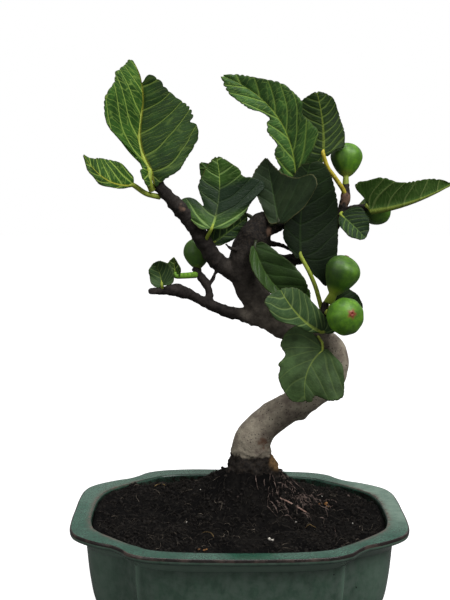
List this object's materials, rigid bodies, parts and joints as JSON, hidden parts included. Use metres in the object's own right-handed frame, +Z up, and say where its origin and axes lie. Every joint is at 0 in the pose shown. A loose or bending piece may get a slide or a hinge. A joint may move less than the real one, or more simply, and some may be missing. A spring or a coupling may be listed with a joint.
{
  "type": "potted fig bonsai",
  "caption": "Fig bonsai with a curved trunk, large lobed leaves and small green figs, planted in soil in a glazed lobed rectangular pot on low feet.",
  "frame": {"origin": "middle of the whole tree and pot's bounding box in plan, on the surface that the pot's feet stand on", "axes": "+Z up; +X to the right and -Y towards the viewer of the picture, along the pot's length and depth"},
  "size_m": [0.312, 0.22, 0.4701],
  "materials": {
    "glazed_pot": "glossy green glaze that thins to brown on the lip",
    "soil": "loose dark potting soil with fibres and grit",
    "bark": "grey-brown bark below, dark brown bark above",
    "leaf": "satin dark green leaf with pale veins",
    "fig_skin": "smooth green skin with pale specks"
  },
  "bodies": {
    "root": {"pot": "glazed_pot", "soil": "soil", "trunk_and_branches": "bark", "leaf_upper_left": "leaf", "leaf_small_left": "leaf", "leaf_three_lobed": "leaf", "leaf_shaded_left": "leaf", "leaf_dark_centre": "leaf", "leaf_top": "leaf", "leaf_top_right": "leaf", "leaf_right": "leaf", "leaf_small_right": "leaf", "leaf_broad_right": "leaf", "leaf_folded_centre": "leaf", "leaf_front": "leaf", "leaf_hanging": "leaf", "leaf_behind_figs": "leaf", "leaf_young_left": "leaf", "leaf_young_stalked": "leaf", "leaf_back_upper": "leaf", "leaf_back_lower": "leaf", "leaf_back_middle": "leaf", "leaf_back_right": "leaf", "fig_top_right": "fig_skin", "fig_upper_of_pair": "fig_skin", "fig_lower_of_pair": "fig_skin", "fig_left": "fig_skin", "fig_under_right_leaf": "fig_skin"}
  },
  "joints": []
}
